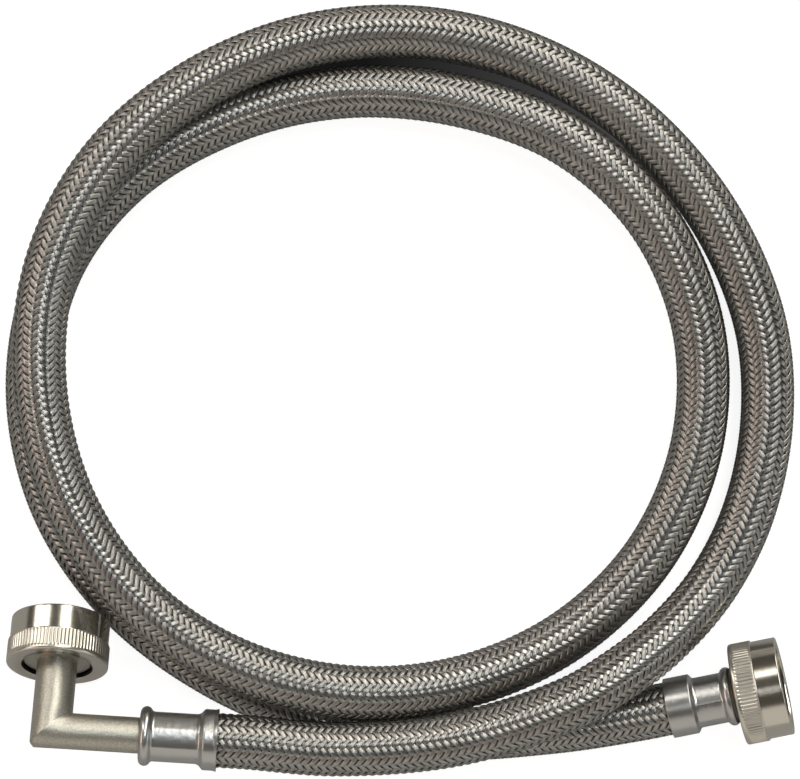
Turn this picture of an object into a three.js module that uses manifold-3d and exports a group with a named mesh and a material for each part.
// A braided stainless-steel fill hose for a washing machine, in millimetres, +Z up. It lies on the floor in
// about two and a quarter loose loops. One end has a 90 degree elbow, the other a straight connector, and
// each carries a swivel nut for a standard 3/4 inch hose thread. The origin is on the floor, below the middle.

import * as THREE from 'three';
import { mergeVertices } from 'three/addons/utils/BufferGeometryUtils.js';
import Module from 'manifold-3d';

const wasm = await Module();
wasm.setup();

// The clearance between two pieces that touch.
const SEAT_GAP = 0.3;

// The hose: a rubber core in a woven steel sleeve, each a tube with flat sides along the route.
const HOSE_OD = 16.5;
const BRAID_WALL = 1.0;
const CORE_WALL = 1.95;
const BRAID_SIDES = 12;
const CORE_SIDES = 8;
const HOSE_STEPS = 64;

// Crimping presses the waist of a ferrule in past the surface of the hose, and squeezes both layers on to the
// barbs of a stem.
const CRIMP_DEPTH = 0.55;
const CRIMPED_BRAID_WALL = 0.9;
const CRIMPED_CORE_WALL = 0.85;
const BARB_PITCH = 3.4;
const BARB_DEPTH = 0.45;
const STEM_WALL = 0.9;
const STEM_TIP_SETBACK = 4;
const STEM_TIP_CHAMFER = 0.4;

// The elbow: a neck up to the nut and a leg to the hose, joined by a mitre with a rounded outer corner. The
// leg is thinner all round than the ferrule's waist by its step.
const NECK_OD = 12.2;
const NECK_BORE = 8.2;
const NECK_LENGTH = 20.5;
const LEG_STEP = 2.25;
const LEG_LENGTH = 26.6;
const CORNER_ROUND = 2.0;

// How far the bead of the straight ferrule stands off its nut.
const STRAIGHT_NECK = 0.5;

// The sealing washer.
const WASHER_OD = 25.4;
const WASHER_BORE = 14;
const WASHER_THICKNESS = 3;

// The swivel nut. The bore that its thread is cut into clears the washer all round by the washer's play.
const WASHER_PLAY = 0.9;
const NUT_LENGTH = 14.6;
const NUT_BACK_WALL = 1.8;
const BARREL_WALL = 1.4;
const COLLAR_RISE = 0.5;
const COLLAR_LENGTH = 7;
const COLLAR_CHAMFER = 0.8;
const RIM_CHAMFER = 0.4;

// The flange of a stem bears on the nut's back wall from inside. Its shoulder lies flush in the wall's hole.
const FLANGE_PLAY = 1.4;
const FLANGE_THICKNESS = 1.8;
const FLANGE_BEARING = 1.85;
const SHOULDER_PLAY = 0.45;

// The ferrules: a rolled bead at the fitting, a crimped waist, a step and a bell over the hose.
const FERRULE_WALL = 0.6;
const BEAD_RISE = 1.3;
const BEAD_LENGTH = 3.7;
const ELBOW_FERRULE = { waist: 14.1, step: 1.9, bell: 3.9, bellPlay: 0.35, flare: 0.25 };
const STRAIGHT_FERRULE = { waist: 8.2, step: 1.5, bell: 7.5, bellPlay: 0.3, flare: 0 };

// The middle of the part's outline, in the places that follow.
const MIDDLE = new THREE.Vector3(0.3, 0.5, 0);

// Where the two fittings lie. Headings turn from +X towards +Y, and slopes rise.
const CORNER_AT = new THREE.Vector3(-105, -102.45, 28.9);
const LEG_HEADING = -3.7;
const LEG_SLOPE = -1.6;
const ELBOW_NUT_DROP = 25.5;
const STRAIGHT_NUT_AT = new THREE.Vector3(102.8, -93, 15.42);
const STRAIGHT_HEADING = 12.1;
const STRAIGHT_SLOPE = 8.3;

// The route of the hose from the elbow to the straight end: x, y, and how far it is lifted off the floor.
const HOSE_ROUTE = [
  // along the front, over the other two strands, then down on to the floor
  [-19, -108.5, 17.5], [17, -105.5, 17.4], [51, -95, 16.9], [66.3, -86.4, 14], [80.5, -76, 8.6],
  [95.6, -59.5, 2.6],
  // the outer loop, up the right side and round the back
  [106.8, -37.6, 0.3], [112.5, -9, 0], [110.2, 21, 0], [96.3, 53.2, 0], [72.8, 80.9, 0], [42.1, 100.3, 0.3],
  [8, 109, 3],
  // over the inner loop and on top of the lowest strand, down the left side
  [-28, 106.4, 7.5], [-61.5, 92.5, 12.2], [-88.5, 69.5, 15.8], [-105, 38.5, 17],
  [-108.8, 2.5, 17.2], [-100.2, -33, 17.2], [-80.2, -62.4, 17.2], [-51, -82.4, 17], [-16.5, -91.5, 14.4],
  // the inner loop, down to the floor and round again, leaning on the outer loop at the upper right
  [19, -89, 8.5], [51.5, -75, 2.8], [77, -50, 0.3], [91, -17, 0.2], [91.3, 19, 1.5], [77.2, 51.8, 4],
  [51.4, 75.9, 4.5], [17.9, 88.4, 3], [-18, 91.1, 1], [-52.6, 83.1, 0], [-84.4, 64.4, 0], [-105.5, 36.5, 0],
  // underneath, down the left side and along the front to the straight end
  [-112.8, 1.5, 0], [-105.9, -34, 0], [-86.3, -63.9, 0], [-57.5, -86, 0], [-24.5, -99.8, 0],
  [11, -105.5, 0], [47, -103.5, 0.5],
];

// The hose runs straight from this far inside each bell to these distances outside it.
const BELL_REACH = 1;
const STRAIGHT_LEADS = [1, 9];

// The squeezed ends of both layers are turned, and run this far into the tubes along the route.
const LAYER_LAP = 1;
const LAP_MARGIN = 0.08;

const NUT_SEGMENTS = 48;
const FITTING_SEGMENTS = 28;
const BEAD_ARC_STEPS = 6;

// Corners nearer than this are one, and parts of one piece that are joined or cut through lap by these.
const WELD_REACH = 1e-5;
const MITRE_LAP = 0.03;
const CUT_THROUGH = 1;

// The sizes that follow from the ones above.
const WAIST_OD = HOSE_OD - 2 * CRIMP_DEPTH;
const BEAD_OD = WAIST_OD + 2 * BEAD_RISE;
const LEG_OD = WAIST_OD - 2 * LEG_STEP;
const NUT_BORE = WASHER_OD + 2 * WASHER_PLAY;
const BARREL_OD = NUT_BORE + 2 * BARREL_WALL;
const COLLAR_OD = BARREL_OD + 2 * COLLAR_RISE;
const FLANGE_OD = NUT_BORE - 2 * FLANGE_PLAY;
const SHOULDER_OD = FLANGE_OD - 2 * FLANGE_BEARING;
const NUT_BACK_HOLE = SHOULDER_OD + 2 * SHOULDER_PLAY;

// The radii of the hose's layers, free and squeezed under a waist, and of the barbs that they are squeezed on.
const braidOuter = HOSE_OD / 2;
const braidInner = braidOuter - BRAID_WALL;
const coreOuter = braidInner * Math.cos(Math.PI / BRAID_SIDES) - SEAT_GAP;
const coreBore = coreOuter - CORE_WALL;
const squeezedBraidOuter = WAIST_OD / 2 - FERRULE_WALL - SEAT_GAP;
const squeezedBraidInner = squeezedBraidOuter - CRIMPED_BRAID_WALL;
const squeezedCoreOuter = squeezedBraidInner - SEAT_GAP;
const squeezedCoreBore = squeezedCoreOuter - CRIMPED_CORE_WALL;
const barbCrest = squeezedCoreBore - SEAT_GAP;
const barbRoot = barbCrest - BARB_DEPTH;
const stemBore = barbRoot - STEM_WALL;

const MATERIALS = {
  braid: { color: 0x8f8f8a, roughness: 0.35, metalness: 0.9 },
  core: { color: 0x1b1b1c, roughness: 0.8, metalness: 0 },
  nickel: { color: 0xbdb8a8, roughness: 0.2, metalness: 0.95 },
  satin: { color: 0xa9a395, roughness: 0.5, metalness: 0.9 },
  ferrule: { color: 0xa3a3a3, roughness: 0.25, metalness: 0.95 },
  washer: { color: 0x222222, roughness: 0.85, metalness: 0 },
};

// A unit vector from a heading and a slope in degrees.
function direction(heading, slope) {
  const [turn, rise] = [heading, slope].map(THREE.MathUtils.degToRad);
  return new THREE.Vector3(
    Math.cos(rise) * Math.cos(turn), Math.cos(rise) * Math.sin(turn), Math.sin(rise));
}

// Welds the corners that a three.js geometry repeats, and drops the faces that this leaves without width.
function welded(geometry) {
  geometry.deleteAttribute('normal');
  geometry.deleteAttribute('uv');
  const merged = mergeVertices(geometry, WELD_REACH);
  const corners = merged.index.array;
  const kept = [];
  for (let i = 0; i < corners.length; i += 3) {
    const face = corners.slice(i, i + 3);
    if (new Set(face).size === 3) kept.push(...face);
  }
  merged.setIndex(kept);
  return merged;
}

function toSolid(geometry) {
  const { position } = geometry.attributes;
  return new wasm.Manifold(new wasm.Mesh({
    numProp: 3,
    vertProperties: new Float32Array(position.array),
    triVerts: new Uint32Array(geometry.index.array),
  }));
}

function toGeometry(solid) {
  const mesh = solid.getMesh();
  const geometry = new THREE.BufferGeometry();
  geometry.setAttribute('position', new THREE.BufferAttribute(new Float32Array(mesh.vertProperties), 3));
  geometry.setIndex(Array.from(mesh.triVerts));
  return geometry;
}

// A profile of [radius, station] points, turned about the X axis with its stations along +X. The points run
// up the outside and back along the inside, or from the axis to the axis.
function turned(profile, segments) {
  const points = profile.map(([radius, station]) => new THREE.Vector2(radius, station));
  if (points[0].x > 0) points.push(points[0].clone());
  const geometry = new THREE.LatheGeometry(points, segments);
  geometry.rotateZ(-Math.PI / 2);
  return welded(geometry);
}

// A plain round bar or bore along +X from one station to another.
function roundBar(diameter, from, to) {
  const geometry = new THREE.CylinderGeometry(diameter / 2, diameter / 2, to - from, FITTING_SEGMENTS);
  geometry.rotateZ(-Math.PI / 2);
  geometry.translate((from + to) / 2, 0, 0);
  return toSolid(welded(geometry));
}

// Stations on a fitting are measured from the end face of its bead, towards the hose.
const stepStart = (ferrule) => BEAD_LENGTH + ferrule.waist;
const bellStart = (ferrule) => stepStart(ferrule) + ferrule.step;
const mouth = (ferrule) => bellStart(ferrule) + ferrule.bell;
const NECK_END = FERRULE_WALL + SEAT_GAP;
const HOSE_END = NECK_END + SEAT_GAP;

// Half a circle of the rolled bead, from its end face down to the waist.
function beadArc(wall) {
  const beadRadius = BEAD_LENGTH / 2;
  const centre = BEAD_OD / 2 - beadRadius;
  const points = [];
  for (let i = 0; i <= BEAD_ARC_STEPS; i += 1) {
    const turn = (Math.PI * i) / BEAD_ARC_STEPS;
    const radius = centre + (beadRadius - wall) * Math.sin(turn);
    const station = beadRadius - (beadRadius - wall) * Math.cos(turn);
    if (station <= beadRadius || radius > WAIST_OD / 2 - wall) points.push([radius, station]);
  }
  return points;
}

// The wall of a ferrule on its outside, with wall 0, or on its inside.
function ferruleSide(ferrule, wall) {
  const waist = WAIST_OD / 2 - wall;
  const bell = HOSE_OD / 2 + ferrule.bellPlay + FERRULE_WALL - wall;
  return [
    [LEG_OD / 2 + SEAT_GAP, wall],
    ...beadArc(wall),
    [waist, BEAD_LENGTH],
    [waist, stepStart(ferrule)],
    [bell, bellStart(ferrule)],
    [bell, mouth(ferrule) - 2 * ferrule.flare - FERRULE_WALL],
    [bell + ferrule.flare, mouth(ferrule)],
  ];
}

function ferruleGeometry(ferrule) {
  return turned(
    [...ferruleSide(ferrule, 0), ...ferruleSide(ferrule, FERRULE_WALL).reverse()], FITTING_SEGMENTS);
}

// The outside of a stem in the hose: sharp barbs under the waist, which let the hose on and not off.
function barbs(ferrule) {
  const tip = mouth(ferrule) - STEM_TIP_SETBACK;
  const points = [[LEG_OD / 2, NECK_END], [barbRoot, NECK_END]];
  const count = Math.floor(ferrule.waist / BARB_PITCH);
  for (let i = 0; i < count; i += 1) {
    const start = BEAD_LENGTH + i * BARB_PITCH;
    points.push([barbRoot, start], [barbCrest, start]);
  }
  points.push([barbRoot, BEAD_LENGTH + count * BARB_PITCH]);
  points.push([barbRoot, tip - STEM_TIP_CHAMFER], [barbRoot - STEM_TIP_CHAMFER, tip]);
  return points;
}

// The head of a stem in its nut. Depths are measured from the nut's back face into the nut.
const FLANGE_FROM = NUT_BACK_WALL + SEAT_GAP;
const FLANGE_TO = FLANGE_FROM + FLANGE_THICKNESS;
const stemHead = [
  [SHOULDER_OD / 2, 0], [SHOULDER_OD / 2, FLANGE_FROM],
  [FLANGE_OD / 2, FLANGE_FROM], [FLANGE_OD / 2, FLANGE_TO],
];

function straightStemGeometry() {
  const head = stemHead.map(([radius, depth]) => [radius, -STRAIGHT_NECK - depth]).reverse();
  const face = -STRAIGHT_NECK - FLANGE_TO;
  const stem = [...head, [LEG_OD / 2, -STRAIGHT_NECK], ...barbs(STRAIGHT_FERRULE)];
  const tip = stem[stem.length - 1][1];
  return turned([...stem, [stemBore, tip], [stemBore, face]], FITTING_SEGMENTS);
}

// A prism on one side of the mitre, which runs through the elbow's corners where both pipes' outlines meet.
function mitreSide(side) {
  const reach = 10;
  const [x, y] = [(reach * NECK_OD) / 2, (reach * LEG_OD) / 2];
  const shape = new THREE.Shape([
    new THREE.Vector2(-x, -y), new THREE.Vector2(x, y), new THREE.Vector2(x - side * y, y + side * x),
    new THREE.Vector2(-x - side * y, -y + side * x),
  ]);
  const prism = new THREE.ExtrudeGeometry(shape, { depth: 2 * FLANGE_OD, bevelEnabled: false });
  prism.translate(side * MITRE_LAP, -side * MITRE_LAP, -FLANGE_OD);
  return toSolid(welded(prism));
}

// The elbow about its corner, with the leg along +X and the neck along +Y.
function elbowGeometry() {
  const quarter = [0, 0, 90];
  const run = barbs(ELBOW_FERRULE).map(([radius, station]) => [radius, station + LEG_LENGTH]);
  const tip = run[run.length - 1][1];
  const leg = toSolid(turned([[0, -NECK_OD], [LEG_OD / 2, -NECK_OD], ...run, [0, tip]], FITTING_SEGMENTS));
  const head = stemHead.map(([radius, depth]) => [radius, NECK_LENGTH + depth]);
  const face = NECK_LENGTH + FLANGE_TO;
  const neckSide = [[0, -NECK_OD], [NECK_OD / 2, -NECK_OD], [NECK_OD / 2, NECK_LENGTH]];
  const neck = toSolid(turned([...neckSide, ...head, [0, face]], FITTING_SEGMENTS));
  const pipe = leg.intersect(mitreSide(-1)).add(neck.rotate(quarter).intersect(mitreSide(1)));

  const cornerReach = Math.hypot(NECK_OD, LEG_OD) / 2;
  const ball = toSolid(welded(new THREE.SphereGeometry(
    cornerReach - CORNER_ROUND * (Math.SQRT2 - 1), FITTING_SEGMENTS, FITTING_SEGMENTS / 2)));
  const block = new THREE.BoxGeometry(NECK_OD, NECK_OD, 2 * NECK_OD);
  block.translate(-NECK_OD / 2, -NECK_OD / 2, 0);
  const sharpCorner = toSolid(welded(block)).subtract(ball);

  const waterway = roundBar(2 * stemBore, 0, tip + CUT_THROUGH)
    .add(roundBar(NECK_BORE, 0, face + CUT_THROUGH).rotate(quarter))
    .add(toSolid(welded(new THREE.SphereGeometry(NECK_BORE / 2, FITTING_SEGMENTS, FITTING_SEGMENTS / 2))));
  return toGeometry(pipe.subtract(sharpCorner).subtract(waterway));
}

// The nut from its back face, with its open end towards +X.
function nutGeometry() {
  const collar = COLLAR_OD / 2;
  const barrel = BARREL_OD / 2;
  const bore = NUT_BORE / 2;
  return turned([
    [NUT_BACK_HOLE / 2, 0],
    [collar - COLLAR_CHAMFER, 0],
    [collar, COLLAR_CHAMFER],
    [collar, COLLAR_LENGTH],
    [barrel, COLLAR_LENGTH],
    [barrel, NUT_LENGTH - RIM_CHAMFER],
    [barrel - RIM_CHAMFER, NUT_LENGTH],
    [bore + RIM_CHAMFER, NUT_LENGTH],
    [bore, NUT_LENGTH - RIM_CHAMFER],
    [bore, NUT_BACK_WALL],
    [NUT_BACK_HOLE / 2, NUT_BACK_WALL],
  ], NUT_SEGMENTS);
}

// The washer on the stem's flange, in the nut's own space.
function washerGeometry() {
  const from = FLANGE_TO + SEAT_GAP;
  const to = from + WASHER_THICKNESS;
  return turned([
    [WASHER_BORE / 2, from], [WASHER_OD / 2, from], [WASHER_OD / 2, to], [WASHER_BORE / 2, to],
  ], NUT_SEGMENTS);
}

function piece(name, geometry, material) {
  const mesh = new THREE.Mesh(geometry, new THREE.MeshStandardMaterial(MATERIALS[material]));
  mesh.name = name;
  return mesh;
}

// A group whose +X points along the hose and whose +Y leans as near to up as that leaves.
function placed(at, along, up) {
  const fitting = new THREE.Group();
  const y = up.clone().addScaledVector(along, -up.dot(along)).normalize();
  const z = new THREE.Vector3().crossVectors(along, y);
  fitting.setRotationFromMatrix(new THREE.Matrix4().makeBasis(along, y, z));
  fitting.position.copy(at);
  return fitting;
}

const legAlong = direction(LEG_HEADING, LEG_SLOPE);
const legSide = direction(LEG_HEADING + 90, 0);
const neckDrop = THREE.MathUtils.degToRad(ELBOW_NUT_DROP);
const neckAlong = legSide.clone().multiplyScalar(Math.cos(neckDrop))
  .addScaledVector(new THREE.Vector3().crossVectors(legAlong, legSide), -Math.sin(neckDrop));
const elbowBead = CORNER_AT.clone().addScaledVector(legAlong, LEG_LENGTH);
const elbowEnd = placed(elbowBead, legAlong, neckAlong);

const straightAlong = direction(STRAIGHT_HEADING, STRAIGHT_SLOPE).negate();
const straightBead = STRAIGHT_NUT_AT.clone().addScaledVector(straightAlong, STRAIGHT_NECK);
const straightEnd = placed(straightBead, straightAlong, new THREE.Vector3(0, 0, 1));

// The middle of the hose from inside one bell to inside the other.
function hosePath() {
  const stations = (ferrule) => [
    bellStart(ferrule) + BELL_REACH, ...STRAIGHT_LEADS.map((lead) => mouth(ferrule) + lead)];
  const start = stations(ELBOW_FERRULE)
    .map((station) => elbowBead.clone().addScaledVector(legAlong, station));
  const finish = stations(STRAIGHT_FERRULE)
    .map((station) => straightBead.clone().addScaledVector(straightAlong, station)).reverse();
  const route = HOSE_ROUTE.map(([x, y, lift]) => new THREE.Vector3(x, y, HOSE_OD / 2 + lift));
  return new THREE.CatmullRomCurve3([...start, ...route, ...finish]);
}

function polygon(radius, sides) {
  const points = [];
  for (let i = 0; i < sides; i += 1) {
    const turn = (2 * Math.PI * i) / sides;
    points.push(new THREE.Vector2(radius * Math.cos(turn), radius * Math.sin(turn)));
  }
  return points;
}

// The squeezed end of a layer, from its cut end under the bead to where it laps the tube in the bell.
function squeezedEnd(ferrule, fitting, squeezed, inBell) {
  const lap = bellStart(ferrule) + BELL_REACH + LAYER_LAP;
  const [outer, inner] = [1, 0].map((side) => [
    [squeezed[side], HOSE_END], [squeezed[side], stepStart(ferrule)], [inBell[side], bellStart(ferrule)],
    [inBell[side], lap]]);
  const geometry = turned([...outer, ...inner.reverse()], FITTING_SEGMENTS);
  fitting.updateMatrixWorld();
  geometry.applyMatrix4(fitting.matrixWorld);
  return toSolid(geometry);
}

// One layer of the hose. free and squeezed hold its inner and outer radius along the route and under a waist.
function layerGeometry(path, sides, free, squeezed) {
  const section = new THREE.Shape(polygon(free[1], sides));
  section.holes.push(new THREE.Path(polygon(free[0], sides)));
  const tube = toSolid(welded(new THREE.ExtrudeGeometry(section, { steps: HOSE_STEPS, extrudePath: path })));
  const inBell = [free[0] + LAP_MARGIN, free[1] * Math.cos(Math.PI / sides) - LAP_MARGIN];
  return toGeometry(tube
    .add(squeezedEnd(ELBOW_FERRULE, elbowEnd, squeezed, inBell))
    .add(squeezedEnd(STRAIGHT_FERRULE, straightEnd, squeezed, inBell)));
}

const path = hosePath();
const hose = new THREE.Group();
hose.add(
  piece('inner_tube', layerGeometry(
    path, CORE_SIDES, [coreBore, coreOuter], [squeezedCoreBore, squeezedCoreOuter]), 'core'),
  piece('braid_sleeve', layerGeometry(
    path, BRAID_SIDES, [braidInner, braidOuter], [squeezedBraidInner, squeezedBraidOuter]), 'braid'),
);

const elbow = piece('elbow_body', elbowGeometry(), 'satin');
elbow.position.x = -LEG_LENGTH;
elbowEnd.add(elbow, piece('elbow_ferrule', ferruleGeometry(ELBOW_FERRULE), 'ferrule'));
straightEnd.add(
  piece('straight_stem', straightStemGeometry(), 'satin'),
  piece('straight_ferrule', ferruleGeometry(STRAIGHT_FERRULE), 'ferrule'),
);

// Each nut turns with its washer about its own +X, which points out of its open end.
function swivel(name) {
  const turning = new THREE.Group();
  turning.add(
    piece(`${name}_nut`, nutGeometry(), 'nickel'), piece(`${name}_washer`, washerGeometry(), 'washer'));
  return turning;
}

const elbowSwivel = swivel('elbow');
elbowSwivel.position.set(-LEG_LENGTH, NECK_LENGTH, 0);
elbowSwivel.rotation.z = Math.PI / 2;
elbowEnd.add(elbowSwivel);

const straightSwivel = swivel('straight');
straightSwivel.position.x = -STRAIGHT_NECK;
straightSwivel.rotation.z = Math.PI;
straightEnd.add(straightSwivel);

const group = new THREE.Group();
group.add(hose, elbowEnd, straightEnd);
group.position.copy(MIDDLE).negate();

export default group;
